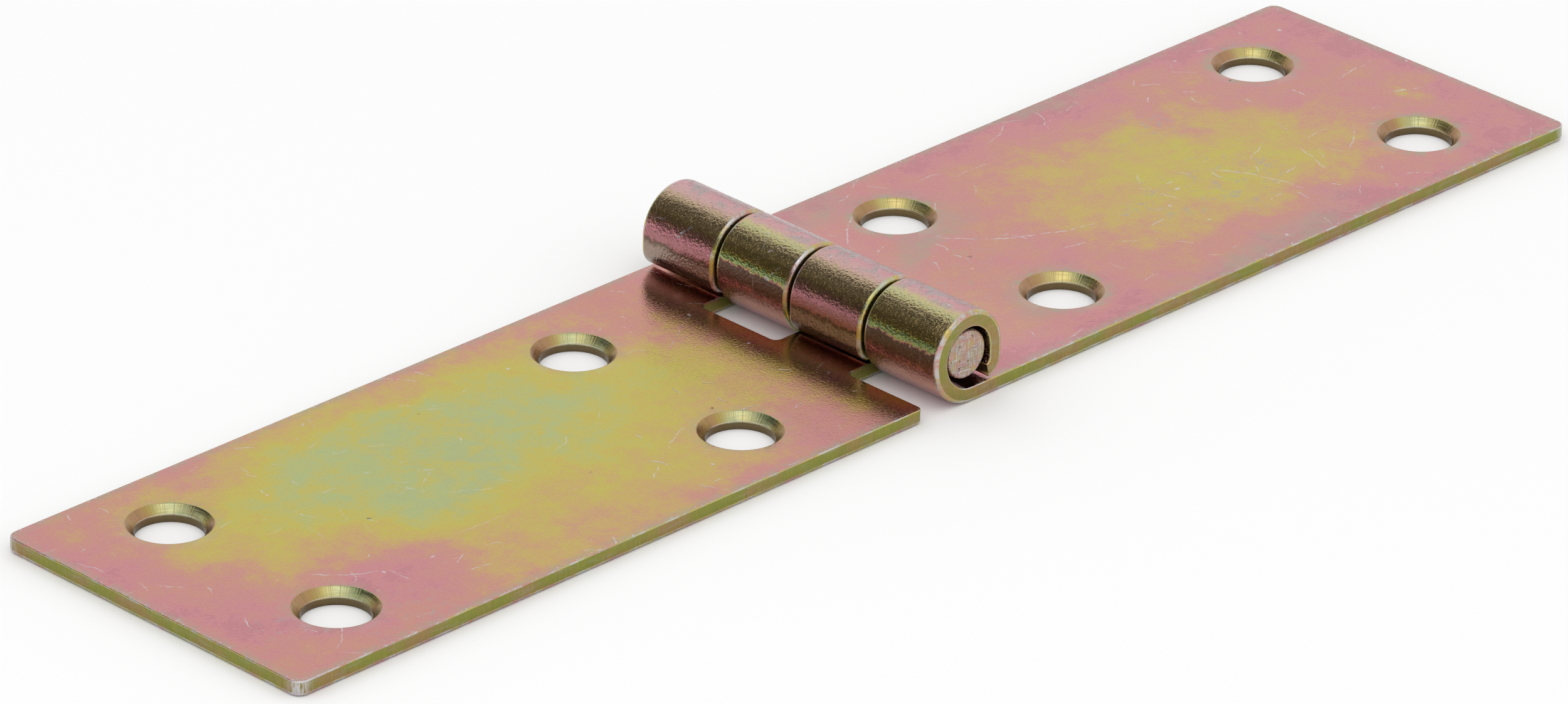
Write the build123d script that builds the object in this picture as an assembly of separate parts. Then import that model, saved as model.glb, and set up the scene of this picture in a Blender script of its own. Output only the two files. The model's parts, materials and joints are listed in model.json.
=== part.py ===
from build123d import *
import math
import os

# A long strap hinge for furniture: two equal leaves of sheet steel, whose tongues are rolled into
# interlocking knuckles round one wire pin.
# X runs along the leaves, Y along the pin and Z up from the face that is screwed down.
# The origin lies on that face, under the middle of the pin.
# All sizes are in millimetres and degrees.

# Leaf blank
LEAF_WIDTH = 30.0            # along the pin
LEAF_REACH = 65.0            # from the pin's axis to the free end
SHEET = 1.2                  # thickness of the steel
END_CORNER_RADIUS = 0.9      # corners of the free end, in plan
TAB_CORNER_RADIUS = 0.5      # corner beside the open notch, in plan
NOTCH_CORNER_RADIUS = 0.5    # inner corners of the notches, in plan
OUTER_EDGE_BREAK = 0.2       # broken rim of the mounting face and of the outside of the knuckles
INNER_EDGE_BREAK = 0.08      # broken rim of the upper face and of the inside of the knuckles

# Knuckles
KNUCKLES_PER_LEAF = 2
KNUCKLE_GAP = 0.3            # play along the pin between neighbouring knuckles
ROLL_RISE = 0.45             # underside of a knuckle's round part above the mounting face
TUCK_RADIUS = 0.4            # inside radius of the tucked-in tail
TUCK_TURN = 80.0             # how far the tail is tucked in
TAIL_GAP = 0.12              # sheared end of the tail above the leaf
NOTCH_CLEARANCE = 1.2        # from a knuckle's round part to the notch of the other leaf

# Pin
PIN_DIAMETER = 3.8
PIN_CLEARANCE = 0.3          # radial, in the knuckles
PIN_RECESS = 0.15            # ends of the pin behind the outer knuckles
PIN_END_BREAK = 0.3          # broken rim of the sheared ends

# Screw holes
HOLE_DIAMETER = 5.0
COUNTERSINK_DIAMETER = 6.2
COUNTERSINK_ANGLE = 90.0
HOLE_PITCH_X = 39.0          # along the leaf
HOLE_PITCH_Y = 17.0          # across the leaf
HOLE_END_MARGIN = 9.5        # from the free end to the nearer pair

# Tolerance
TOUCH = 1e-4                 # two points this near are the same point

# Sizes that follow
bore_radius = PIN_DIAMETER / 2 + PIN_CLEARANCE
roll_radius = bore_radius + SHEET
pin_height = roll_radius + ROLL_RISE
notch_reach = roll_radius + NOTCH_CLEARANCE
knuckle_pitch = LEAF_WIDTH / (2 * KNUCKLES_PER_LEAF)
tuck_outside = TUCK_RADIUS + SHEET
tuck_drop = tuck_outside * math.sin(math.radians(TUCK_TURN))
tail_drop = pin_height - SHEET - TAIL_GAP - tuck_drop
hole_centre = LEAF_REACH - HOLE_END_MARGIN - HOLE_PITCH_X / 2


def skin_curve(depth, start):
    """One skin of the leaf in section, from the strap at X = start round the pin to the tucked tail.

    At depth 0 it is the mounting face and the outside of the knuckle. At depth SHEET it is the
    upper face and the inside of the knuckle.
    """
    strap = Line((start, depth), (ROLL_RISE, depth))
    heel = JernArc(strap @ 1, strap % 1, pin_height - depth, -90)
    crown = JernArc(heel @ 1, heel % 1, roll_radius - depth, -180)
    tail = Line(crown @ 1, crown @ 1 - Vector(0, tail_drop))
    tuck = JernArc(tail @ 1, tail % 1, tuck_outside - depth, -TUCK_TURN)
    return Wire([strap, heel, crown, tail, tuck])


def knuckle_section():
    """The rolled tongue in section, as a sketch with the leaf's X and Z as its axes."""
    outside = skin_curve(0, notch_reach)
    inside = skin_curve(SHEET, notch_reach)
    root = Line(outside @ 0, inside @ 0)
    sheared_end = Line(outside @ 1, inside @ 1)
    return make_face([*outside.edges(), sheared_end, *inside.edges(), root])


def knuckle_spans():
    """The stretches of the pin that the right leaf's knuckles cover, from front to back."""
    front = -LEAF_WIDTH / 2
    for step in range(0, 2 * KNUCKLES_PER_LEAF, 2):
        low = front + step * knuckle_pitch
        high = low + knuckle_pitch - KNUCKLE_GAP / 2
        yield (low if step == 0 else low + KNUCKLE_GAP / 2), high


def rolled_tongues():
    """The tongues of the right leaf, each rolled into a knuckle."""
    section = knuckle_section()
    tongues = []
    for low, high in knuckle_spans():
        plane = Plane((0, high, 0), x_dir=(1, 0, 0), z_dir=(0, -1, 0))
        tongues.append(extrude(plane * section, high - low))
    return tongues


def upright_edges(leaf, x):
    """The upright edges of the leaf at one X, from front to back."""
    return leaf.edges().filter_by(Axis.Z).filter_by_position(Axis.X, x, x).sort_by(Axis.Y)


def round_corners(leaf):
    """Rounds the corners of the blank, seen in plan. At the notches the hindmost is the tab's corner."""
    leaf = fillet(upright_edges(leaf, LEAF_REACH), END_CORNER_RADIUS)
    leaf = fillet(upright_edges(leaf, notch_reach)[-1:], TAB_CORNER_RADIUS)
    return fillet(upright_edges(leaf, notch_reach)[:-1], NOTCH_CORNER_RADIUS)


def skin_rim(leaf, depth):
    """The edges where one skin of the sheet meets the cut sides of the blank."""
    skin = Plane.XZ * skin_curve(depth, LEAF_REACH)

    def is_rim(edge):
        middle = edge @ 0.5
        on_skin = skin.distance_to(Vertex(middle.X, 0, middle.Z)) < TOUCH
        along_pin = abs((edge % 0.5).Y) > 1 - TOUCH
        return on_skin and not (along_pin and middle.X < notch_reach - TOUCH)

    return leaf.edges().filter_by(is_rim)


def screw_holes():
    """Countersunk holes in a rectangle, the countersinks open to the upper face."""
    hole = CounterSinkHole(HOLE_DIAMETER / 2, COUNTERSINK_DIAMETER / 2, SHEET, COUNTERSINK_ANGLE)
    places = Pos(hole_centre, 0, SHEET) * GridLocations(HOLE_PITCH_X, HOLE_PITCH_Y, 2, 2)
    return [place * hole for place in places]


def make_leaf():
    """The right leaf."""
    on_face = (Align.MIN, Align.CENTER, Align.MIN)
    strap = Pos(notch_reach, 0, 0) * Box(LEAF_REACH - notch_reach, LEAF_WIDTH, SHEET, align=on_face)
    leaf = round_corners(strap + rolled_tongues())
    leaf = chamfer(skin_rim(leaf, 0), OUTER_EDGE_BREAK)
    leaf = chamfer(skin_rim(leaf, SHEET), INNER_EDGE_BREAK)
    return leaf - screw_holes()


def make_pin():
    """The wire pin, with the rims of its sheared ends broken."""
    pin = Pos(0, 0, pin_height) * Rot(90, 0, 0) * Cylinder(PIN_DIAMETER / 2, LEAF_WIDTH - 2 * PIN_RECESS)
    return chamfer(pin.edges().filter_by(GeomType.CIRCLE), PIN_END_BREAK)


right_leaf = make_leaf()
left_leaf = Rot(0, 0, 180) * right_leaf
hinge_pin = make_pin()

os.makedirs("parts", exist_ok=True)
for name, shape in (("left_leaf", left_leaf), ("right_leaf", right_leaf), ("hinge_pin", hinge_pin)):
    export_step(shape, f"parts/{name}.step")
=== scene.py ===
"""A long strap hinge for furniture, in yellow passivated zinc plating.

The two leaves are cut as flat blanks and their tongues are rolled round the pin, as the real ones are.
X runs along the leaves, Y along the pin and Z up from the face that is screwed down.
"""
import json
import math

import bmesh
import bpy
from bpy.props import FloatProperty, FloatVectorProperty, PointerProperty
from mathutils import Matrix, Vector, noise


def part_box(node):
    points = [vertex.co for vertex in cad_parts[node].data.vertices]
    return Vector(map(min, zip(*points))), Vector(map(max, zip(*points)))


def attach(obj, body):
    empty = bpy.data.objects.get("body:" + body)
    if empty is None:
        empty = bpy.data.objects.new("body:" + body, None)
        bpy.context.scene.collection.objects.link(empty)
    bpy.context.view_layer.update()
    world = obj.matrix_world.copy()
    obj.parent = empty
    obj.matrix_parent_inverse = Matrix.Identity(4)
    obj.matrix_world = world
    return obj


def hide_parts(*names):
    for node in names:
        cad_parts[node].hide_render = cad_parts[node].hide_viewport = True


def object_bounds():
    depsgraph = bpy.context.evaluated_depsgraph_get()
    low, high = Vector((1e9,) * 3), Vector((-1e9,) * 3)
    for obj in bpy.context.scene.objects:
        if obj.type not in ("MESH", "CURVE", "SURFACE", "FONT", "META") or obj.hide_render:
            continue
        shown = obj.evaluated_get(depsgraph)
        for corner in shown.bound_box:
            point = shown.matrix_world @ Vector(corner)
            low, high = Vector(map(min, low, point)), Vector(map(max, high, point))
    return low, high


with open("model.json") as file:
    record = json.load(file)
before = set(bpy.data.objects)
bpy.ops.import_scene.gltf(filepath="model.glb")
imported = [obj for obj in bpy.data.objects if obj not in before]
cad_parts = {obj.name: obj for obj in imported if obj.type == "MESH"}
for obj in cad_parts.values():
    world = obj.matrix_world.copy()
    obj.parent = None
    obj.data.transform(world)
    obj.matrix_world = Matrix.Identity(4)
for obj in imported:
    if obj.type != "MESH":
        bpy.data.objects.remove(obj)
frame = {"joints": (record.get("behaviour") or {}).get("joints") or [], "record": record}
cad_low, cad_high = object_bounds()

bl_info = {
    "name": "Strap Hinge",
    "version": (1, 0, 0),
    "blender": (4, 5, 0),
    "location": "3D View > Sidebar > Hinge",
    "description": "Models a furniture strap hinge with rolled knuckles and passivated plating",
    "category": "Add Mesh",
}

MM = 0.001
PER_MM = 1000.0
TOUCH = 1e-7                  # points this near are joined
NEAR = 1e-6                   # places this near count as the same

record = frame["record"]
fold = frame["joints"][0]
screws = next(mount for mount in record["mounts"] if mount["name"] == "right_screw_holes")
pin_low, pin_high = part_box("hinge_pin")

# Places in a leaf's list of materials
SKIN, SHEARED, RIM, SUNK = range(4)

# Stains of the plating: middle X and Y, half sizes along and across (mm), turn (degrees), change of film and
# how far the stain breaks up into patches
LEFT_STAINS = (
    (-6.5, -10.5, 4.5, 5.5, 0.0, -0.15, 0.0),
    (-12.5, 8.5, 6.0, 7.0, 0.0, 0.08, 0.0),
    (-13.0, -9.5, 5.0, 4.0, 0.0, 0.08, 0.0),
    (-45.0, -12.5, 8.0, 3.0, 0.0, -0.05, 0.0),
    (-45.0, 13.8, 8.0, 3.0, 0.0, -0.05, 0.0),
    (-34.0, 4.3, 36.0, 15.5, -4.0, -0.33, 0.0),
    (-35.0, 3.8, 20.0, 13.0, -8.0, -0.18, 0.5),
    (-14.0, -2.0, 12.0, 10.0, 0.0, -0.06, 0.0),
    (-30.0, -11.0, 27.0, 7.0, 0.0, -0.14, 0.0),
    (-51.5, -8.5, 13.0, 6.0, -6.0, 0.20, 0.0),
    (-62.0, 2.0, 7.0, 17.0, 0.0, 0.14, 0.0),
    (-11.0, -11.0, 8.0, 6.5, 0.0, 0.08, 0.0),
)
RIGHT_STAINS = (
    (38.0, -1.0, 26.0, 13.5, -15.0, -0.30, 0.0),
    (40.0, -2.0, 12.0, 10.0, 0.0, -0.09, 0.4),
    (47.5, 9.0, 8.0, 5.0, 10.0, -0.14, 0.3),
    (48.0, -10.5, 11.0, 5.0, -15.0, -0.05, 0.3),
    (61.0, -3.5, 3.5, 3.5, 0.0, -0.25, 0.5),
    (42.7, 5.5, 2.0, 8.0, 0.0, 0.12, 0.3),
    (12.0, -6.0, 9.0, 9.0, 0.0, -0.10, 0.0),
    (26.0, -9.0, 8.0, 5.0, 0.0, -0.12, 0.3),
    (58.5, 3.0, 5.0, 5.0, 0.0, -0.09, 0.3),
)

# Hazy smears, laid out in the same way, with their strength last but one
LEFT_HAZE = (
    (-52.0, -15.2, 14.0, 1.6, 0.0, 0.5, 1.0),
    (-36.0, 0.5, 9.0, 5.0, 30.0, 0.2, 1.0),
)
RIGHT_HAZE = (
    (12.7, 12.5, 6.0, 3.6, 30.0, 0.6, 0.6),
    (15.0, 4.0, 7.5, 2.6, 25.0, 0.7, 0.5),
    (36.0, 15.4, 40.0, 2.0, 0.0, 0.6, 0.7),
    (33.0, -14.0, 15.0, 3.4, 0.0, 0.7, 0.5),
    (16.5, 8.5, 5.2, 4.8, 0.0, 0.8, 0.3),
    (16.5, -8.5, 5.0, 4.6, 0.0, 0.7, 0.3),
    (55.5, 8.5, 4.6, 4.4, 0.0, 0.7, 0.4),
)

# Scuffs, laid out as the smears are
LEFT_SCUFFS = (
    (-57.5, -6.5, 5.0, 3.0, 30.0, 0.9, 0.0),
    (-53.0, -12.0, 6.0, 2.5, 10.0, 0.7, 0.0),
    (-33.0, 7.0, 8.0, 4.0, 0.0, 0.4, 0.0),
)
RIGHT_SCUFFS = (
    (32.5, -3.5, 5.0, 3.4, 40.0, 1.0, 0.0),
    (39.0, -5.0, 6.0, 4.5, 0.0, 0.9, 0.0),
    (40.5, 5.5, 6.0, 3.5, 0.0, 0.9, 0.0),
    (14.0, -1.0, 8.0, 5.0, 30.0, 0.6, 0.0),
)

# Film round the knuckles: degrees from the crown, negative towards -X, and the film there
LEFT_ROUND = (
    (-180, 0.70), (-140, 0.80), (-132, 1.0), (-97, 1.0), (-86, 0.87), (-76, 0.86), (-69, 0.80),
    (-62, 0.64), (-52, 0.48), (-25, 0.50), (-14, 0.66), (2, 0.82), (12, 0.87), (32, 0.86),
    (44, 0.70), (60, 0.46), (82, 0.38), (104, 0.60), (180, 0.75),
)
# The right leaf's stops from -97 to -73.5 degrees reach the burnt film, which paints a dark reflection on
# that side of its knuckles
RIGHT_ROUND = (
    (-180, 0.70), (-115, 0.62), (-104, 0.70), (-97, 0.885), (-90, 0.92), (-73.5, 0.92), (-72, 0.14),
    (-66, 0.08), (-61, 0.45), (-30, 0.44), (-21, 0.26), (-14, 0.36), (-7, 0.64), (2, 0.80),
    (12, 0.87), (30, 0.87), (42, 0.70), (54, 0.50), (76, 0.36), (100, 0.58), (180, 0.75),
)

# Film on the plain strap, and how hazy the rings round its holes are
LEFT_FILM, LEFT_HALO = 0.63, 0.4
RIGHT_FILM, RIGHT_HALO = 0.77, 1.0

# Turns from a knuckle's crown (radians) between which its film goes dull, is rubbed and glints more
DULL_RISE, DULL_FALL = (-1.15, -0.3), (-0.2, 0.15)
CROWN_RISE, CROWN_FALL = (-0.32, -0.05), (0.35, 0.9)
GLINT_RISE = (-1.1, -0.5)

# Scratches: spacing, length, width and shift of their pattern (mm)
SCRATCHES = ((13.0, 11.0, 0.09, 0.0), (5.0, 4.0, 0.07, 40.0), (2.8, 1.6, 0.07, 75.0))

# Wear near the edges (mm): how far it reaches from a free corner, and where sides and ends blend
CORNER_WEAR, EDGE_BLEND = 1.6, 2.0

# Relief of the rolled faces (mm): grain sizes, depth of the bump, and the strap's bow towards the knuckles
FLAT_GRAIN, KNUCKLE_GRAIN = 0.2, 0.21
SKIN_BUMP = 0.012
BOW_ENDS, BOW_RISE = (4.5, 12.5), 0.324

# Meshes
HOLE_CELL = 4.2 * MM          # half a side of the square cell round a hole
HOLE_RIM = 0.06 * MM          # round of a countersink's rims
HOLE_MARGIN = 0.05 * MM       # what lies this far outside a countersink still belongs to it
END_RING = 0.21 * MM          # width of the rings on the pin's ends
RIM_MARGIN = 1.2              # the pin's ends are uneven this many rim rounds inside their edge
SHEAR_WAVES = ((0.9, 0.65), (3.1, 0.35))   # waves per mm on the pin's ends, and their shares of the depth
SAME_DEPTH = 1e-3             # in parts of the sheet's thickness
SHARP = math.radians(30)      # edges that bend more than this are rounded
HOLE_POINTS, PIN_POINTS, END_RINGS = 64, 72, 7
HEEL_STEPS, CROWN_STEPS, TUCK_STEPS = 24, 52, 14
END_CORNER_STEPS, CORNER_STEPS = 8, 6
OUTER_STEPS, INNER_STEPS, HOLE_RIM_STEPS, PIN_RIM_STEPS = 4, 3, 2, 5

# Stage (metres, and degrees for arcs)
FLOOR_HALF, FLOOR_DROP = 6.0, 0.02 * MM
FAR_CARD_Y, FAR_CARD_RADII, FAR_CARD_ARC = 0.40, (0.13, 1.4), (86, 134)
NEAR_CARD_MIDDLE, NEAR_CARD_HALF = (-12 * MM, 18 * MM, 11.3 * MM), (4.3 * MM, 32 * MM)
LOW_CARD_RADIUS, LOW_CARD_TOP, LOW_CARD_ARC = 0.9, 0.22, (112, 162)
CARD_STEPS = 24
MATT = 0.9
SOFTBOX_SIZE, SOFTBOX_PLACE = 0.36, (-0.22, -0.22, 0.62)
SENSOR_WIDTH, CLIP_START = 36.0, 0.01


def length(name, description, default):
    return FloatProperty(
        name=name, description=description, default=default, min=0.0, precision=5,
        unit="LENGTH", subtype="DISTANCE",
    )


def place(name, description, default):
    return FloatVectorProperty(name=name, description=description, default=default, subtype="TRANSLATION")


def turn(name, description, degrees):
    return FloatProperty(name=name, description=description, default=math.radians(degrees), subtype="ANGLE")


def colour(name, description, default):
    return FloatVectorProperty(
        name=name, description=description, default=default, size=3, min=0.0, max=1.0, subtype="COLOR",
    )


class LeafSizes(bpy.types.PropertyGroup):
    """Sizes of a leaf's blank."""

    width: length("Width", "Along the pin", cad_high.y - cad_low.y)
    reach: length("Reach", "From the pin's axis to the free end", cad_high.x)
    sheet: length("Sheet", "Thickness of the steel", 1.2 * MM)
    end_corner: length("End corner", "Radius of the free end's corners", 0.9 * MM)
    tab_corner: length("Tab corner", "Radius of the corner beside the open notch", 0.5 * MM)
    notch_corner: length("Notch corner", "Radius of the notches' inner corners", 0.5 * MM)
    outer_round: length("Outer rim", "Round of the mounting face's rim and the knuckles' outside", 0.3 * MM)
    inner_round: length("Inner rim", "Round of the upper face's rim and the knuckles' inside", 0.09 * MM)


class KnuckleSizes(bpy.types.PropertyGroup):
    """Sizes of the rolled tongues."""

    pin_height: length("Pin height", "Pin's axis above the mounting face", fold["pos_m"][2])
    rise: length("Rise", "Underside of the roll above the mounting face", 0.45 * MM)
    gap: length("Gap", "Play along the pin between neighbours", 0.3 * MM)
    clearance: length("Notch clearance", "From a roll to the other leaf's notch", 1.2 * MM)
    tuck: length("Tuck", "Inside radius of the tucked-in tail", 0.4 * MM)
    tuck_turn: turn("Tuck turn", "How far the tail is tucked in", 80.0)
    tail_gap: length("Tail gap", "Sheared end of the tail above the leaf", 0.12 * MM)


class HoleSizes(bpy.types.PropertyGroup):
    """Sizes of the screw holes."""

    radius: length("Radius", "Of the hole", screws["dims"]["hole_r_mm"] * MM)
    sink_radius: length("Countersink", "Radius at the upper face", 3.1 * MM)
    pitch_x: length("Pitch along", "Along the leaf", screws["dims"]["spacing_x_mm"] * MM)
    pitch_y: length("Pitch across", "Across the leaf", screws["dims"]["spacing_y_mm"] * MM)
    centre: length("Centre", "Middle of the four holes from the pin's axis", screws["pos_m"][0])


class PinSizes(bpy.types.PropertyGroup):
    """Sizes of the wire pin."""

    radius: length("Radius", "Of the wire", (pin_high.z - pin_low.z) / 2)
    half_length: length("Half length", "From the middle to a sheared end", pin_high.y)
    end_round: length("End rim", "Round of the sheared ends", 0.3 * MM)
    shear_depth: length("Shear depth", "Unevenness of the sheared ends", 0.09 * MM)


class PlatingColours(bpy.types.PropertyGroup):
    """Colours of the passivated zinc, from the thinnest film to the thickest, and of its wear."""

    leaf_green: colour("Green", "Thinnest film, on the knuckles", (0.20, 0.36, 0.06))
    sage: colour("Sage", "Palest film, in the middle of a leaf", (0.395, 0.45, 0.175))
    olive: colour("Olive", "Yellow film", (0.515, 0.435, 0.065))
    tan: colour("Tan", "Film between yellow and rose", (0.54, 0.35, 0.12))
    rose: colour("Rose", "Film near edges and holes", (0.55, 0.255, 0.19))
    mauve: colour("Mauve", "Thick film", (0.555, 0.215, 0.24))
    # Burnt is thick film and also a painted dark reflection, on the -X side of the right leaf's knuckles
    burnt_and_painted_reflection: colour("Burnt", "Thicker film, on the heels of the right leaf's knuckles", (0.12, 0.07, 0.045))
    pewter: colour("Pewter", "Thickest film, under the left leaf's knuckles", (0.33, 0.24, 0.19))
    # Zinc is plating rubbed bare, and also the colour of the painted highlights in the countersinks
    zinc: colour("Zinc", "Plating rubbed bare", (0.60, 0.59, 0.62))
    bloom: colour("Bloom", "Grey clumps on the crowns and scuffs", (0.37, 0.35, 0.34))
    haze: colour("Haze", "Dull film beside rims and holes", (0.34, 0.34, 0.24))
    moss: colour("Moss", "Sheared sides of the sheet", (0.25, 0.26, 0.055))
    brass: colour("Brass", "Countersinks and brown stretches of the sheared sides", (0.33, 0.22, 0.09))
    # Umber darkens fine marks on the countersinks, and is the painted shade on the walls of the holes
    umber: colour("Umber", "Walls of the holes", (0.14, 0.095, 0.05))
    soot: colour("Soot", "Specks and pits", (0.10, 0.07, 0.05))


class StageSettings(bpy.types.PropertyGroup):
    """The camera, the light and the floor."""

    target: place("Target", "Point in the middle of the view", (-3.734 * MM, -0.147 * MM, 0.0))
    azimuth: turn("Azimuth", "Camera's direction round the hinge", -45.528)
    elevation: turn("Elevation", "Camera's height above the horizon", 26.456)
    roll: turn("Roll", "Camera's lean", 1.06)
    distance: length("Distance", "From the target to the camera", 748.7 * MM)
    lens: FloatProperty(
        name="Lens", description="Focal length in millimetres", default=238.2, subtype="DISTANCE_CAMERA",
    )
    floor_colour: colour("Floor", "Pale floor", (0.92, 0.92, 0.92))
    sky_colour: colour("Surroundings", "White studio all round", (1.0, 1.0, 1.0))
    card_colour: colour("Cards", "Dark cards that draw the knuckles", (0.095, 0.095, 0.095))
    low_colour: colour("Low card", "Grey card low behind the hinge", (0.35, 0.35, 0.35))
    softbox_power: FloatProperty(
        name="Softbox", description="Power of the softbox overhead", default=0.4, unit="POWER",
    )


class HingeSettings(bpy.types.PropertyGroup):
    """All the settings of the hinge."""

    leaf: PointerProperty(type=LeafSizes)
    knuckle: PointerProperty(type=KnuckleSizes)
    hole: PointerProperty(type=HoleSizes)
    pin: PointerProperty(type=PinSizes)
    plating: PointerProperty(type=PlatingColours)
    stage: PointerProperty(type=StageSettings)


def roll_radius(hinge):
    return hinge.knuckle.pin_height - hinge.knuckle.rise


def notch_reach(hinge):
    return roll_radius(hinge) + hinge.knuckle.clearance


def hole_places(hinge):
    """Middles of the right leaf's holes."""
    hole = hinge.hole
    return [
        Vector((hole.centre + i * hole.pitch_x / 2, j * hole.pitch_y / 2, 0.0))
        for i in (-1, 1) for j in (-1, 1)
    ]


def verts_of(geom):
    return [item for item in geom if isinstance(item, bmesh.types.BMVert)]


def faces_of(geom):
    return [item for item in geom if isinstance(item, bmesh.types.BMFace)]


def with_parts(faces):
    """Faces together with their edges and vertices, so that an extrusion leaves nothing behind."""
    edges = {edge for face in faces for edge in face.edges}
    verts = {vert for face in faces for vert in face.verts}
    return list(faces) + list(edges) + list(verts)


def round_over(bm, geom, radius, segments, affect="EDGES"):
    """Rounds edges or corners and gives the new faces."""
    made = bmesh.ops.bevel(
        bm, geom=geom, offset=radius, offset_type="OFFSET", affect=affect, segments=segments,
        profile=0.5, material=-1, clamp_overlap=False, loop_slide=True,
    )
    return made["faces"]


def cut_blank(bm, hinge):
    """The right leaf's blank on the mounting face, with round corners and tongues."""
    leaf, knuckle = hinge.leaf, hinge.knuckle
    front, back, root = -leaf.width / 2, leaf.width / 2, notch_reach(hinge)
    pitch, half_gap = leaf.width / 4, knuckle.gap / 2

    def corner(x, y):
        return bm.verts.new((x, y, 0.0))

    ends = [corner(leaf.reach, front), corner(leaf.reach, back)]
    tab = corner(root, back)
    hind_back, hind_front = front + 3 * pitch - half_gap, front + 2 * pitch + half_gap
    front_back = front + pitch - half_gap
    inner = [corner(root, y) for y in (hind_back, hind_front, front_back)]
    hind_tongue = [corner(knuckle.rise, y) for y in (hind_back, hind_front)]
    front_tongue = [corner(knuckle.rise, y) for y in (front_back, front)]
    bm.faces.new([*ends, tab, inner[0], *hind_tongue, *inner[1:], *front_tongue])
    round_over(bm, ends, leaf.end_corner, END_CORNER_STEPS, "VERTICES")
    round_over(bm, [tab], leaf.tab_corner, CORNER_STEPS, "VERTICES")
    round_over(bm, inner, leaf.notch_corner, CORNER_STEPS, "VERTICES")


def pierce_blank(bm, hinge):
    """Opens a ring of countersink size for each hole, in a square cell of the blank."""
    places = hole_places(hinge)
    for axis, normal in ((0, (1, 0, 0)), (1, (0, 1, 0))):
        for middle in sorted({round(spot[axis], 6) for spot in places}):
            for side in (-HOLE_CELL, HOLE_CELL):
                spot = [0.0, 0.0, 0.0]
                spot[axis] = middle + side
                whole = bm.verts[:] + bm.edges[:] + bm.faces[:]
                bmesh.ops.bisect_plane(bm, geom=whole, plane_co=spot, plane_no=normal, dist=TOUCH)
    for spot in places:
        cell = min(bm.faces, key=lambda face: (face.calc_center_bounds() - spot).length)
        sides = list(cell.edges)
        bmesh.ops.delete(bm, geom=[cell], context="FACES_ONLY")
        bmesh.ops.bisect_edges(bm, edges=sides, cuts=HOLE_POINTS // 4 - 1)

        def on_cell(vert):
            away = vert.co - spot
            return abs(max(abs(away.x), abs(away.y)) - HOLE_CELL) < NEAR

        rim = [
            edge for edge in bm.edges
            if all(on_cell(vert) for vert in edge.verts) and edge.calc_length() < HOLE_CELL / 2
        ]
        turned = Matrix.Translation(spot) @ Matrix.Rotation(math.pi / 4, 4, "Z")
        ring = bmesh.ops.create_circle(
            bm, cap_ends=False, segments=HOLE_POINTS, radius=hinge.hole.sink_radius, matrix=turned,
        )["verts"]
        ring_edges = {edge for vert in ring for edge in vert.link_edges}
        bmesh.ops.bridge_loops(bm, edges=rim + list(ring_edges))


def thicken_blank(bm, hinge):
    """Raises the blank to the sheet's thickness, with straight holes below and countersinks above."""
    hole = hinge.hole
    sink_depth = hole.sink_radius - hole.radius
    first = bmesh.ops.extrude_face_region(bm, geom=with_parts(bm.faces[:]))["geom"]
    bmesh.ops.translate(bm, verts=verts_of(first), vec=(0, 0, hinge.leaf.sheet - sink_depth))
    second = bmesh.ops.extrude_face_region(bm, geom=with_parts(faces_of(first)))["geom"]
    bmesh.ops.translate(bm, verts=verts_of(second), vec=(0, 0, sink_depth))
    shrink = hole.radius / hole.sink_radius
    for spot in hole_places(hinge):
        straight = [
            vert for vert in bm.verts
            if (vert.co.xy - spot.xy).length < hole.sink_radius + NEAR
            and vert.co.z < hinge.leaf.sheet - NEAR
        ]
        bmesh.ops.scale(bm, verts=straight, vec=(shrink, shrink, 1.0), space=Matrix.Translation(-spot))


def roll_tongues(bm, hinge):
    """Rolls the tongues round the pin: heel, crown, straight tail and tuck."""
    leaf, knuckle = hinge.leaf, hinge.knuckle
    tuck_outside = knuckle.tuck + leaf.sheet
    tuck_drop = tuck_outside * math.sin(knuckle.tuck_turn)
    tail_drop = knuckle.pin_height - leaf.sheet - knuckle.tail_gap - tuck_drop
    bm.normal_update()
    tip = [
        face for face in bm.faces
        if all(abs(vert.co.x - knuckle.rise) < NEAR for vert in face.verts)
    ]

    def spin(faces, x, z, angle, steps):
        made = bmesh.ops.spin(
            bm, geom=with_parts(faces), cent=(x, 0, z), axis=(0, 1, 0), angle=angle, steps=steps,
            use_merge=False, use_duplicate=False,
        )
        return faces_of(made["geom_last"])

    tip = spin(tip, knuckle.rise, knuckle.pin_height, math.pi / 2, HEEL_STEPS)
    tip = spin(tip, 0.0, knuckle.pin_height, math.pi, CROWN_STEPS)
    made = bmesh.ops.extrude_face_region(bm, geom=with_parts(tip))["geom"]
    bmesh.ops.translate(bm, verts=verts_of(made), vec=(0, 0, -tail_drop))
    tip = faces_of(made)
    tuck_x, tuck_z = roll_radius(hinge) - tuck_outside, knuckle.pin_height - tail_drop
    spin(tip, tuck_x, tuck_z, knuckle.tuck_turn, TUCK_STEPS)


def sharp_rim(bm, depth, value):
    """Sharp edges that lie on one skin of the sheet."""
    return [
        edge for edge in bm.edges
        if len(edge.link_faces) == 2
        and all(abs(vert[depth] - value) < SAME_DEPTH for vert in edge.verts)
        and edge.calc_face_angle(0.0) > SHARP
    ]


def near_hole(item, places, radius):
    middle = (item.verts[0].co + item.verts[1].co) / 2
    return any((middle.xy - spot.xy).length < radius for spot in places)


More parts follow.
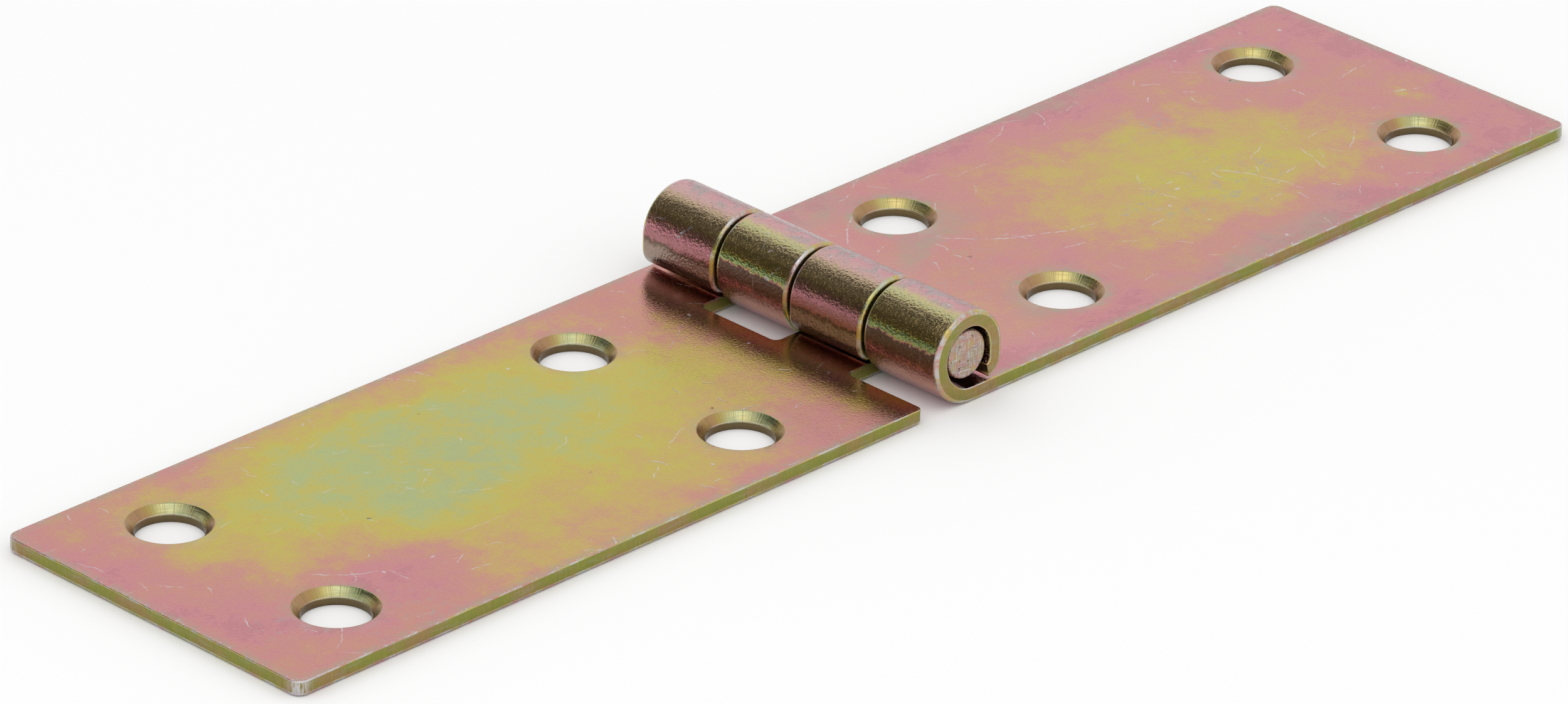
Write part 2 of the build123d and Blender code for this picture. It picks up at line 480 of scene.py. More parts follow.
def form_leaf(hinge):
    """The right leaf as a bmesh, with its faces sorted by finish."""
    bm = bmesh.new()
    cut_blank(bm, hinge)
    pierce_blank(bm, hinge)
    thicken_blank(bm, hinge)
    depth = bm.verts.layers.float.new("depth")
    for vert in bm.verts:
        vert[depth] = vert.co.z / hinge.leaf.sheet
    roll_tongues(bm, hinge)
    bmesh.ops.remove_doubles(bm, verts=bm.verts[:], dist=TOUCH)
    bmesh.ops.recalc_face_normals(bm, faces=bm.faces[:])
    bm.normal_update()

    places = hole_places(hinge)
    wall = hinge.hole.sink_radius + HOLE_MARGIN
    for face in bm.faces:
        levels = [vert[depth] for vert in face.verts]
        if max(levels) - min(levels) < SAME_DEPTH:
            face.material_index = SKIN
        elif near_hole(face, places, wall):
            face.material_index = SUNK
        else:
            face.material_index = SHEARED
    outer = sharp_rim(bm, depth, 0.0)
    inner = sharp_rim(bm, depth, 1.0)
    throat = [
        edge for edge in bm.edges
        if near_hole(edge, places, wall) and edge.calc_face_angle(0.0) > SHARP
        and edge.verts[0].co.z < hinge.leaf.sheet - NEAR
    ]
    hole_rims = [edge for edge in inner if near_hole(edge, places, wall)] + throat
    outer = [edge for edge in outer if not near_hole(edge, places, wall)]
    inner = [edge for edge in inner if not near_hole(edge, places, wall)]
    for edges, radius, segments, finish in (
        (outer, hinge.leaf.outer_round, OUTER_STEPS, RIM),
        (inner, hinge.leaf.inner_round, INNER_STEPS, RIM),
        (hole_rims, HOLE_RIM, HOLE_RIM_STEPS, SUNK),
    ):
        for face in round_over(bm, edges, radius, segments):
            face.material_index = finish
    bmesh.ops.recalc_face_normals(bm, faces=bm.faces[:])
    for face in bm.faces:
        face.smooth = True
    return bm


def form_pin(hinge):
    """The wire pin, its ends sheared a little uneven."""
    pin, height = hinge.pin, hinge.knuckle.pin_height
    bm = bmesh.new()
    lying = Matrix.Translation((0, 0, height)) @ Matrix.Rotation(math.pi / 2, 4, "X")
    bmesh.ops.create_cone(
        bm, cap_ends=True, cap_tris=False, segments=PIN_POINTS, radius1=pin.radius, radius2=pin.radius,
        depth=2 * pin.half_length, matrix=lying,
    )
    ends = [face for face in bm.faces if len(face.verts) > 4]
    rims = list({edge for face in ends for edge in face.edges})
    round_over(bm, rims, pin.end_round, PIN_RIM_STEPS)
    ends = [face for face in bm.faces if len(face.verts) > 4]
    for _ in range(END_RINGS):
        bmesh.ops.inset_region(bm, faces=ends, thickness=END_RING, use_even_offset=True)
    bmesh.ops.triangulate(bm, faces=ends)
    for vert in bm.verts:
        radius = math.hypot(vert.co.x, vert.co.z - height)
        on_end = abs(vert.co.y) > pin.half_length - NEAR
        if on_end and radius < pin.radius - pin.end_round * RIM_MARGIN:
            spot = vert.co * PER_MM
            dip = sum(share * (0.5 + 0.5 * noise.noise(spot * waves)) for waves, share in SHEAR_WAVES)
            vert.co.y -= math.copysign(pin.shear_depth * dip, vert.co.y)
    bmesh.ops.recalc_face_normals(bm, faces=bm.faces[:])
    for face in bm.faces:
        face.smooth = True
    return bm


def add_object(name, bm, materials):
    """An object at the origin with a mesh and its materials."""
    mesh = bpy.data.meshes.new(name)
    bm.to_mesh(mesh)
    bm.free()
    for material in materials:
        mesh.materials.append(material)
    made = bpy.data.objects.new(name, mesh)
    bpy.context.scene.collection.objects.link(made)
    return made


def add_piece(name, bm, materials):
    """A closed piece of the hinge, with flat faces kept flat beside their rounded rims."""
    open_edges = sum(not edge.is_manifold for edge in bm.edges)
    if open_edges:
        raise RuntimeError(f"{name} has {open_edges} open edges")
    piece = add_object(name, bm, materials)
    weighted = piece.modifiers.new("Flat faces", "WEIGHTED_NORMAL")
    weighted.mode = "FACE_AREA"
    weighted.keep_sharp = True
    return piece


class Wiring:
    """Adds nodes to one tree. An input is given as a value or as another node's output."""

    def __init__(self, tree):
        self.tree = tree

    def feed(self, socket, value):
        """Gives an input a link, a colour or a plain value."""
        if isinstance(value, bpy.types.NodeSocket):
            self.tree.links.new(value, socket)
        elif socket.type == "RGBA":
            socket.default_value = (*value[:3], 1.0)
        else:
            socket.default_value = value

    def add(self, kind, inputs=None, **settings):
        made = self.tree.nodes.new(kind)
        for key, value in settings.items():
            setattr(made, key, value)
        for key, value in (inputs or {}).items():
            self.feed(made.inputs[key], value)
        return made

    def math(self, operation, *values, clamp=False):
        inputs = dict(enumerate(values))
        return self.add("ShaderNodeMath", inputs, operation=operation, use_clamp=clamp).outputs[0]

    def vector(self, operation, *values):
        made = self.add("ShaderNodeVectorMath", dict(enumerate(values)), operation=operation)
        return made.outputs["Value" if operation in ("LENGTH", "DOT_PRODUCT") else "Vector"]

    def scaled(self, vector, factor):
        inputs = {"Vector": vector, "Scale": factor}
        return self.add("ShaderNodeVectorMath", inputs, operation="SCALE").outputs[0]

    def ramp(self, value, low, high, start=0.0, end=1.0):
        inputs = {"Value": value, "From Min": low, "From Max": high, "To Min": start, "To Max": end}
        return self.add("ShaderNodeMapRange", inputs, interpolation_type="SMOOTHSTEP").outputs[0]

    def noise(self, vector, scale, detail=3.0, rough=0.55, bend=0.0, output="Fac"):
        inputs = {"Vector": vector, "Scale": scale, "Detail": detail, "Roughness": rough, "Distortion": bend}
        return self.add("ShaderNodeTexNoise", inputs).outputs[output]

    def parts(self, vector):
        return self.add("ShaderNodeSeparateXYZ", {"Vector": vector}).outputs

    def times(self, value, *others):
        for other in others:
            value = self.math("MULTIPLY", value, other)
        return value

    def blend(self, factor, first, second):
        """A value between two others."""
        return self.add("ShaderNodeMix", {0: factor, 2: first, 3: second}, data_type="FLOAT").outputs[0]

    def drifting(self, vector, scale, reach, detail=3.0):
        """How far a point is carried off by a cloudy drift."""
        cloud = self.noise(vector, scale, detail, output="Color")
        return self.scaled(self.vector("SUBTRACT", cloud, (0.5, 0.5, 0.5)), reach)

    def cells(self, vector, spacing, dimensions):
        """A Voronoi pattern with about one point to each spacing."""
        inputs = {"Vector": vector, "Scale": self.math("DIVIDE", 1.0, spacing), "Randomness": 1.0}
        made = self.add("ShaderNodeTexVoronoi", inputs, feature="F1", voronoi_dimensions=dimensions)
        return made.outputs

    def mapped(self, vector, location=(0, 0, 0), rotation=(0, 0, 0), scale=(1, 1, 1), kind="POINT"):
        inputs = {"Vector": vector, "Location": location, "Rotation": rotation, "Scale": scale}
        return self.add("ShaderNodeMapping", inputs, vector_type=kind).outputs[0]

    def mix(self, factor, first, second):
        """A colour between two others."""
        return self.add("ShaderNodeMix", {0: factor, 6: first, 7: second}, data_type="RGBA").outputs[2]

    def tint(self, tone, mask, amount, colour):
        """A tone with another over it, as strong as the mask times the amount."""
        return self.mix(self.times(mask, amount), tone, colour)

    def group(self, tree, **inputs):
        return self.add("ShaderNodeGroup", inputs, node_tree=tree).outputs

    def steps(self, value, stops):
        """A colour ramp through (place, colour) stops."""
        made = self.add("ShaderNodeValToRGB", {"Fac": value})
        ramp = made.color_ramp
        while len(ramp.elements) < len(stops):
            ramp.elements.new(1.0)
        for element, (spot, tone) in zip(ramp.elements, stops):
            element.position = spot
            element.color = (*tone[:3], 1.0)
        return made.outputs["Color"]


def new_material(name, inputs):
    """A material with one Principled shader: itself, its wiring, the shader and the output node."""
    material = bpy.data.materials.new(name)
    material.use_nodes = True
    material.node_tree.nodes.clear()
    wires = Wiring(material.node_tree)
    shader = wires.add("ShaderNodeBsdfPrincipled", inputs)
    output = wires.add("ShaderNodeOutputMaterial", {"Surface": shader.outputs[0]})
    return material, wires, shader, output


def plain_material(name, tone, one_sided=False):
    """A matt material of one colour. A one-sided one is clear from behind."""
    matt = {"Base Color": tone, "Roughness": MATT, "Specular IOR Level": 0.0}
    material, wires, shader, output = new_material(name, matt)
    if one_sided:
        clear = wires.add("ShaderNodeBsdfTransparent").outputs[0]
        behind = wires.add("ShaderNodeNewGeometry").outputs["Backfacing"]
        both = wires.add("ShaderNodeMixShader", {0: behind, 1: shader.outputs[0], 2: clear})
        wires.feed(output.inputs["Surface"], both.outputs[0])
    return material


def new_group(name, inputs, outputs):
    """A node group with named sockets, its wiring and its two end nodes."""
    tree = bpy.data.node_groups.new(name, "ShaderNodeTree")
    for direction, sockets in (("INPUT", inputs), ("OUTPUT", outputs)):
        for label, kind in sockets:
            tree.interface.new_socket(name=label, in_out=direction, socket_type=f"NodeSocket{kind}")
    wires = Wiring(tree)
    return tree, wires, wires.add("NodeGroupInput").outputs, wires.add("NodeGroupOutput").inputs


def shared_group(name, build, *given):
    """A node group that is built once and then found by its name."""
    return bpy.data.node_groups.get(name) or build(name, *given)


def film_group(name, plating):
    """Colour of the passivate film, from its thinnest at 0 to its thickest at 1."""
    tree, wires, given, result = new_group(name, [("Film", "Float")], [("Colour", "Color")])
    # The burnt stop at 0.92 is a painted dark reflection as well as thick film
    tones = wires.steps(given["Film"], (
        (0.0, plating.leaf_green), (0.12, plating.sage), (0.33, plating.olive), (0.5, plating.tan),
        (0.64, plating.rose), (0.83, plating.mauve), (0.92, plating.burnt_and_painted_reflection), (1.0, plating.pewter),
    ))
    tree.links.new(tones, result["Colour"])
    return tree


def grain_group(name):
    """Crystalline grain of the plating: a height for bump and a mask for gloss."""
    tree, wires, given, result = new_group(
        name, [("Position", "Vector"), ("Size", "Float")], [("Height", "Float"), ("Mask", "Float")],
    )
    fine = wires.noise(given["Position"], wires.math("DIVIDE", 1.0, given["Size"]))
    broad = wires.noise(given["Position"], 0.9)
    height = wires.math("MULTIPLY_ADD", broad, 0.5, fine)
    tree.links.new(height, result["Height"])
    tree.links.new(wires.ramp(fine, 0.35, 0.65), result["Mask"])
    return tree


def scratch_group(name):
    """Scratches, each with its own turn, length and bow: a mask that is 1 on a scratch."""
    tree, wires, given, result = new_group(
        name, [("Position", "Vector"), ("Spacing", "Float"), ("Length", "Float"), ("Width", "Float")],
        [("Mask", "Float")],
    )
    sway = wires.drifting(given["Position"], 0.8, 0.7, detail=2.0)
    wavy = wires.vector("ADD", given["Position"], sway)
    cells = wires.cells(wavy, given["Spacing"], "2D")
    luck = wires.add("ShaderNodeSeparateColor", {"Color": cells["Color"]}).outputs
    away = wires.vector("SUBTRACT", wavy, cells["Position"])
    turned = wires.add(
        "ShaderNodeVectorRotate", {"Vector": away, "Angle": wires.times(luck[0], 2 * math.pi)},
        rotation_type="Z_AXIS",
    ).outputs[0]
    parts = wires.parts(turned)
    half = wires.times(given["Length"], wires.math("MULTIPLY_ADD", luck[1], 0.6, 0.15))
    bow = wires.math("DIVIDE", wires.math("SUBTRACT", luck[2], 0.5), given["Length"])
    bent = wires.math("ADD", parts["Y"], wires.times(parts["X"], parts["X"], bow))
    off_line = wires.math("ABSOLUTE", bent)
    across = wires.ramp(off_line, wires.times(given["Width"], 0.3), given["Width"], 1.0, 0.0)
    along = wires.ramp(
        wires.math("ABSOLUTE", parts["X"]), wires.times(half, 0.6), half, 1.0, 0.0,
    )
    broken = wires.ramp(wires.noise(given["Position"], 2.2), 0.38, 0.55)
    clusters = wires.ramp(wires.noise(given["Position"], 0.08, detail=2.0), 0.42, 0.58)
    some = wires.ramp(luck[2], 0.45, 0.55)
    tree.links.new(wires.times(across, along, broken, clusters, some), result["Mask"])
    return tree


def speck_group(name):
    """Scattered spots: a mask that is 1 in a spot."""
    tree, wires, given, result = new_group(
        name, [("Position", "Vector"), ("Spacing", "Float"), ("Size", "Float")], [("Mask", "Float")],
    )
    bent = wires.noise(given["Position"], 3.0, detail=2.0, output="Color")
    wavy = wires.vector("ADD", given["Position"], wires.scaled(bent, 0.5))
    spots = wires.cells(wavy, given["Spacing"], "3D")
    inner = wires.times(given["Size"], 0.5)
    near = wires.ramp(spots["Distance"], inner, given["Size"], 1.0, 0.0)
    luck = wires.add("ShaderNodeSeparateColor", {"Color": spots["Color"]}).outputs[0]
    tree.links.new(wires.times(near, wires.ramp(luck, 0.55, 0.6)), result["Mask"])
    return tree


def hole_group(name, hole):
    """How far a point is from the nearest screw hole's axis (mm), and the way it lies from there."""
    tree, wires, given, result = new_group(
        name, [("Position", "Vector")], [("Radius", "Float"), ("Way", "Vector")],
    )
    flat = wires.vector("MULTIPLY", given["Position"], (1.0, 1.0, 0.0))
    middle = wires.vector("MULTIPLY", wires.vector("SIGN", flat), (hole.centre * PER_MM, 0.0, 0.0))
    from_middle = wires.vector("SUBTRACT", flat, middle)
    hole_side = wires.vector("SIGN", from_middle)
    half_pitch = (hole.pitch_x / 2 * PER_MM, hole.pitch_y / 2 * PER_MM, 0.0)
    away = wires.vector("SUBTRACT", from_middle, wires.vector("MULTIPLY", hole_side, half_pitch))
    tree.links.new(wires.vector("LENGTH", away), result["Radius"])
    tree.links.new(wires.vector("NORMALIZE", away), result["Way"])
    return tree


def edge_group(name, leaf):
    """Millimetres to the nearest side or end of a leaf, and a mask that is 1 at its free corners."""
    tree, wires, given, result = new_group(
        name, [("Position", "Vector")], [("Distance", "Float"), ("Corners", "Float")],
    )
    reach, side = leaf.reach * PER_MM, leaf.width / 2 * PER_MM
    parts = wires.parts(wires.vector("ABSOLUTE", given["Position"]))
    to_end = wires.math("SUBTRACT", reach, parts["X"])
    to_side = wires.math("SUBTRACT", side, parts["Y"])
    tree.links.new(wires.math("SMOOTH_MIN", to_side, to_end, EDGE_BLEND), result["Distance"])
    near_end = wires.ramp(parts["X"], reach - CORNER_WEAR, reach)
    near_side = wires.ramp(parts["Y"], side - CORNER_WEAR, side)
    tree.links.new(wires.times(near_end, near_side), result["Corners"])
    return tree


def drift_group(name):
    """The position, drifting as the bath flowed over the plating."""
    tree, wires, given, result = new_group(name, [("Position", "Vector")], [("Drifted", "Vector")])
    drifted = given["Position"]
    for scale, reach in ((0.11, 10.0), (0.6, 1.4)):
        drifted = wires.vector("ADD", drifted, wires.drifting(given["Position"], scale, reach))
    tree.links.new(drifted, result["Drifted"])
    return tree


def oval_group(name):
    """A soft oval on a leaf, broken up into patches as far as is wanted: a mask that is 1 inside."""
    tree, wires, given, result = new_group(
        name, [("Position", "Vector"), ("Place", "Vector"), ("Turn", "Vector"), ("Reach", "Vector"),
               ("Patches", "Float"), ("Patchy", "Float")], [("Mask", "Float")],
    )
    flat = wires.vector("MULTIPLY", given["Position"], (1.0, 1.0, 0.0))
    laid = wires.mapped(flat, given["Place"], given["Turn"], given["Reach"], "TEXTURE")
    inside = wires.ramp(wires.vector("LENGTH", laid), 0.3, 1.0, 1.0, 0.0)
    whole = wires.math("SUBTRACT", 1.0, given["Patchy"])
    broken = wires.math("MULTIPLY_ADD", given["Patches"], given["Patchy"], whole)
    tree.links.new(wires.times(inside, broken), result["Mask"])
    return tree


def wear_group(name):
    """Clouds that the film's mottling, haze, wear and dust follow."""
    tree, wires, given, result = new_group(name, [("Position", "Vector")], [
        (label, "Float") for label in (
            "Mottle", "Patches", "Haze", "Halo", "Clumps", "Scribble", "Flecks", "Pale dust", "Dark dust",
        )
    ])
    position = given["Position"]
    mottle = [
        wires.ramp(wires.noise(position, scale, detail, 0.6), 0.28, 0.72, -reach, reach)
        for scale, detail, reach in ((0.4, 6.0, 0.085), (3.0, 3.0, 0.035))
    ]
    tree.links.new(wires.math("ADD", *mottle), result["Mottle"])
    worn = wires.noise(position, 0.9, detail=6.0, rough=0.7)
    dust = wires.noise(position, 5.0, rough=0.7)
    for label, cloud, *reach in (
        ("Patches", wires.noise(position, 0.55, detail=6.0, rough=0.62), 0.42, 0.62),
        ("Haze", worn, 0.36, 0.6),
        ("Halo", worn, 0.36, 0.62),
        ("Clumps", wires.noise(position, 0.5, detail=7.0, rough=0.72), 0.5, 0.58),
        ("Scribble", wires.noise(position, 1.2, detail=6.0, rough=0.75, bend=0.6), 0.55, 0.61),
        ("Flecks", wires.noise(position, 7.0, detail=2.0), 0.58, 0.66),
        ("Pale dust", dust, 0.4, 0.75, 0.0, 0.1),
        ("Dark dust", dust, 0.25, 0.42, 0.1, 0.0),
    ):
        tree.links.new(wires.ramp(cloud, *reach), result[label])
    return tree


def knuckle_group(name, hinge):
    """Where the knuckles are, the place round them as a share of the turn, and what changes with it."""
    tree, wires, given, result = new_group(name, [("Position", "Vector")], [
        (label, "Float") for label in ("Mask", "Place", "Dull", "Crown", "Roughness", "Bow")
    ])
    position = given["Position"]
    parts = wires.parts(position)
    top = hinge.leaf.sheet * PER_MM
    mask = wires.ramp(parts["Z"], top + 0.02, top + 0.5)
    lift = wires.math("SUBTRACT", parts["Z"], hinge.knuckle.pin_height * PER_MM)
    angle = wires.math("ARCTAN2", parts["X"], lift)
    wobble = wires.ramp(wires.noise(position, 1.6, detail=5.0, rough=0.7), 0.2, 0.8, -0.09, 0.09)
    wobbly = {"Value": wires.math("ADD", angle, wobble), "From Min": -math.pi, "From Max": math.pi}
    glints = wires.noise(position, 5.6, detail=2.0, rough=0.6)
    glint_rough = wires.ramp(angle, *GLINT_RISE, 0.34, 0.5)

    def patch(rise, fall):
        return wires.times(wires.ramp(angle, *rise), wires.ramp(angle, *fall, 1.0, 0.35), mask)

    for label, value in (
        ("Mask", mask),
        ("Place", wires.add("ShaderNodeMapRange", wobbly).outputs[0]),
        ("Dull", patch(DULL_RISE, DULL_FALL)),
        ("Crown", patch(CROWN_RISE, CROWN_FALL)),
        ("Roughness", wires.ramp(glints, 0.5, 0.7, 0.1, glint_rough)),
        ("Bow", wires.ramp(wires.math("ABSOLUTE", parts["X"]), *BOW_ENDS, BOW_RISE / SKIN_BUMP, 0.0)),
    ):
        tree.links.new(value, result[label])
    return tree


class Finishes:
    """The shared node groups and the materials made from them."""

    def __init__(self, hinge):
        self.hinge = hinge
        self.plating = hinge.plating
        self.film = shared_group("Passivate film", film_group, hinge.plating)
        self.grain = shared_group("Plating grain", grain_group)
        self.scratches = shared_group("Scratches", scratch_group)
        self.specks = shared_group("Specks", speck_group)
        self.holes = shared_group("Hole places", hole_group, hinge.hole)
        self.edges = shared_group("Leaf edges", edge_group, hinge.leaf)
        self.drift = shared_group("Bath drift", drift_group)
        self.oval = shared_group("Soft oval", oval_group)
        self.wear = shared_group("Wear clouds", wear_group)
        self.knuckle = shared_group("Knuckles", knuckle_group, hinge)

    def start(self, name):
        """A metal material: itself, its wiring, its shader and the Object position in millimetres."""
        material, wires, shader, _ = new_material(name, {"Metallic": 1.0})
        position = wires.scaled(wires.add("ShaderNodeTexCoord").outputs["Object"], PER_MM)
        return material, wires, shader, position

    def finish(self, wires, shader, tone, rough, height, depth):
        """Wires a colour, a roughness and a bump, whose depth is in millimetres, to the shader."""
        bump = wires.add("ShaderNodeBump", {"Height": height, "Distance": depth * MM})
        for key, value in (("Base Color", tone), ("Roughness", rough), ("Normal", bump.outputs[0])):
            wires.feed(shader.inputs[key], value)

    def skin(self, name, film, halo, stains, smears, scuffs, round_stops):
        """Rolled faces of a leaf: stained film, a film of its own round the knuckles, wear and scratches."""
        plating = self.plating
        material, wires, shader, position = self.start(name)
        wear = wires.group(self.wear, Position=position)
        knuckle = wires.group(self.knuckle, Position=position)
        on_strap = wires.math("SUBTRACT", 1.0, knuckle["Mask"])
        drifted = wires.group(self.drift, Position=position)["Drifted"]

        def ovals(rows):
            for x, y, along, across, degrees, strength, patchy in rows:
                oval = wires.group(
                    self.oval, Position=drifted, Place=(x, y, 0.0), Turn=(0.0, 0.0, math.radians(degrees)),
                    Reach=(along, across, 1.0), Patches=wear["Patches"], Patchy=patchy,
                )
                yield oval["Mask"], strength

        # Film: stains, thicker towards the edges and mottled on the strap, in bands round the knuckles
        for inside, change in ovals(stains):
            film = wires.math("MULTIPLY_ADD", inside, change, film)
        drifted_edge = wires.group(self.edges, Position=drifted)["Distance"]
        film = wires.math("ADD", film, wires.ramp(drifted_edge, -1.0, 4.5, 0.1, 0.0))
        film = wires.math("ADD", film, wear["Mottle"])
        film = wires.math("MINIMUM", wires.math("MAXIMUM", film, 0.12), 0.84)
        bands = wires.steps(knuckle["Place"], [
            (0.5 + degrees / 360.0, (band, band, band)) for degrees, band in round_stops
        ])
        film = wires.blend(knuckle["Mask"], film, bands)
        tone = wires.group(self.film, Film=film)["Colour"]
        tone = wires.mix(wear["Pale dust"], tone, plating.zinc)
        tone = wires.mix(wear["Dark dust"], tone, plating.soot)

        # Dull haze along the edges, round the holes and in smears, and film gone dull over the knuckles
        edge = wires.group(self.edges, Position=position)["Distance"]
        radius = wires.group(self.holes, Position=position)["Radius"]
        from_hole = wires.math("SUBTRACT", radius, self.hinge.hole.sink_radius * PER_MM)
        hazy = wires.times(wires.ramp(edge, 0.2, 1.1, 0.7, 0.0), wear["Haze"])
        ring = wires.times(wires.ramp(from_hole, 0.1, 1.2, halo, 0.0), wear["Halo"])
        hazy = wires.math("MAXIMUM", hazy, ring)
        for inside, strength in ovals(smears):
            hazy = wires.math("MAXIMUM", hazy, wires.times(inside, strength))
        tone = wires.tint(tone, wires.times(hazy, on_strap), 0.8, plating.haze)
        tone = wires.tint(tone, knuckle["Dull"], 0.3, plating.zinc)

        # Grey clumps on the crowns of the knuckles and scribbled scuffs on the strap
        rubbed = wires.times(knuckle["Crown"], wear["Clumps"])
        for inside, strength in ovals(scuffs):
            scuff = wires.times(inside, strength, on_strap, wear["Scribble"])
            rubbed = wires.math("MAXIMUM", rubbed, scuff)
        tone = wires.tint(tone, rubbed, 0.7, plating.bloom)

        # Plating rubbed bare in flecks along the edges, scratches and specks, and a few dark specks
        bare = wires.times(wires.ramp(edge, 0.12, 0.45, 1.0, 0.0), wear["Flecks"])
        for spacing, reach, width, shift in SCRATCHES:
            shifted = wires.vector("ADD", position, (shift, shift, 0.0))
            scratch = wires.group(
                self.scratches, Position=shifted, Spacing=spacing, Length=reach, Width=width,
            )
            bare = wires.math("MAXIMUM", bare, scratch["Mask"])
        pale = wires.group(self.specks, Position=position, Spacing=2.6, Size=0.07)["Mask"]
        bare = wires.math("MAXIMUM", bare, pale)
        tone = wires.tint(tone, bare, 0.8, plating.zinc)
        shifted = wires.vector("ADD", position, (31.0, 7.0, 3.0))
        dark = wires.group(self.specks, Position=shifted, Spacing=4.0, Size=0.05)["Mask"]
        tone = wires.tint(tone, dark, 0.7, plating.soot)

        flat = wires.group(self.grain, Position=position, Size=FLAT_GRAIN)
        coarse = wires.group(self.grain, Position=position, Size=KNUCKLE_GRAIN)
        strap_rough = wires.ramp(flat["Mask"], 0.0, 1.0, 0.15, 0.23)
        rough = wires.blend(knuckle["Mask"], strap_rough, knuckle["Roughness"])
        rough = wires.math("MULTIPLY_ADD", wires.math("MAXIMUM", bare, rubbed), 0.14, rough)
        strap_height, knuckle_height = wires.times(flat["Height"], 1.6), wires.times(coarse["Height"], 4.6)
        height = wires.blend(knuckle["Mask"], strap_height, knuckle_height)
        dents = wires.times(wires.math("MAXIMUM", bare, dark), 0.7)
        height = wires.math("ADD", wires.math("SUBTRACT", height, dents), knuckle["Bow"])
        self.finish(wires, shader, tone, rough, height, SKIN_BUMP)
        return material

    def sheared(self):
        """Cut sides of the sheet: mossy film with brown stretches and fine lines across the thickness."""
        plating = self.plating
        material, wires, shader, position = self.start("sheared_side")
        across = wires.noise(wires.mapped(position, scale=(7.0, 7.0, 0.8)), 1.0, detail=4.0, rough=0.65)
        patches = wires.noise(position, 0.25, detail=5.0, rough=0.6)
        layers = wires.noise(wires.mapped(position, scale=(0.5, 0.5, 5.0)), 1.0)
        tone = wires.mix(wires.ramp(patches, 0.4, 0.62), plating.moss, plating.brass)
        tone = wires.mix(wires.ramp(across, 0.45, 0.75, 0.0, 0.35), tone, plating.olive)
        tone = wires.mix(wires.ramp(layers, 0.5, 0.7, 0.0, 0.35), tone, plating.haze)
        tone = wires.mix(wires.ramp(across, 0.28, 0.42, 0.4, 0.0), tone, plating.soot)
        corners = wires.group(self.edges, Position=position)["Corners"]
        tone = wires.tint(tone, wires.times(corners, wires.ramp(across, 0.4, 0.55)), 1.0, plating.zinc)
        rough = wires.ramp(across, 0.3, 0.7, 0.3, 0.45)
        grain = wires.group(self.grain, Position=position, Size=0.18)
        height = wires.math("ADD", wires.math("ADD", across, layers), grain["Height"])
        self.finish(wires, shader, tone, rough, height, 0.02)
        return material

    def rim(self):
        """Rounded rims, where handling has rubbed the film thin."""
        plating = self.plating
        material, wires, shader, position = self.start("rubbed_rim")
        film = wires.ramp(wires.noise(position, 0.3), 0.3, 0.7, 0.15, 0.8)
        tone = wires.group(self.film, Film=film)["Colour"]
        hazy = wires.ramp(wires.noise(position, 1.4, detail=4.0), 0.35, 0.65, 0.0, 0.6)
        tone = wires.mix(hazy, tone, plating.haze)
        patches = wires.noise(position, 0.7, detail=6.0, rough=0.7)
        corners = wires.group(self.edges, Position=position)["Corners"]
        rubbed = wires.math("ADD", wires.ramp(patches, 0.46, 0.62, 0.1, 0.8), corners, clamp=True)
        tone = wires.tint(tone, rubbed, 0.9, plating.zinc)
        grain = wires.group(self.grain, Position=position, Size=0.16)
        rough = wires.ramp(grain["Mask"], 0.0, 1.0, 0.24, 0.38)
        self.finish(wires, shader, tone, rough, grain["Height"], 0.02)
        return material

    def sunk(self):
        """Countersinks and hole walls: brassy cones with fine marks down the slope, a painted highlight on
        each cone's +X+Y side and round its throat, and walls darkened by painted shade.
        """
        hinge, plating = self.hinge, self.plating
        material, wires, shader, position = self.start("countersink")
        hole = wires.group(self.holes, Position=position)
        parts = wires.parts(position)
        height = parts["Z"]
        throat = (hinge.leaf.sheet - hinge.hole.sink_radius + hinge.hole.radius) * PER_MM
        marks = wires.noise(hole["Way"], 22.0)
        sway = wires.scaled(hole["Way"], 0.6)
        rings = wires.noise(wires.vector("MULTIPLY_ADD", position, (0.3, 0.3, 9.0), sway), 1.0)
        patches = wires.noise(position, 0.5, detail=4.0)
        # Painted highlight: each cone's +X+Y side is made paler, less brassy, thinner in film and tinted with
        # zinc
        painted_highlight = wires.ramp(wires.vector("DOT_PRODUCT", hole["Way"], (0.88, 0.47, 0.0)), 0.35, 0.95)
        right_leaf = wires.ramp(parts["X"], -1.0, 1.0, 0.0, 0.1)
        film = wires.math("ADD", wires.ramp(patches, 0.3, 0.7, 0.5, 0.72), right_leaf)
        film = wires.math("MULTIPLY_ADD", painted_highlight, -0.45, film)
        tone = wires.group(self.film, Film=film)["Colour"]
        tone = wires.mix(wires.ramp(painted_highlight, 0.0, 1.0, 0.75, 0.3), tone, plating.brass)
        tone = wires.mix(wires.ramp(painted_highlight, 0.2, 1.0, 0.0, 0.15), tone, plating.zinc)
        tone = wires.mix(wires.ramp(marks, 0.3, 0.5, 0.45, 0.0), tone, plating.umber)
        # Painted shade: umber darkens the straight wall below the throat
        wall = wires.ramp(height, throat - 0.12, throat - 0.02, 1.0, 0.0)
        tone = wires.tint(tone, wall, 0.92, plating.umber)
        # Painted highlight: a pale zinc ring round the throat of each hole
        above_lip = wires.ramp(height, throat, throat + 0.07, 1.0, 0.0)
        painted_lip_highlight = wires.times(wires.ramp(height, throat - 0.04, throat), above_lip)
        tone = wires.tint(tone, painted_lip_highlight, 0.5, plating.zinc)
        rough = wires.ramp(rings, 0.3, 0.7, 0.2, 0.36)
        self.finish(wires, shader, tone, rough, wires.math("ADD", rings, marks), 0.02)
        return material

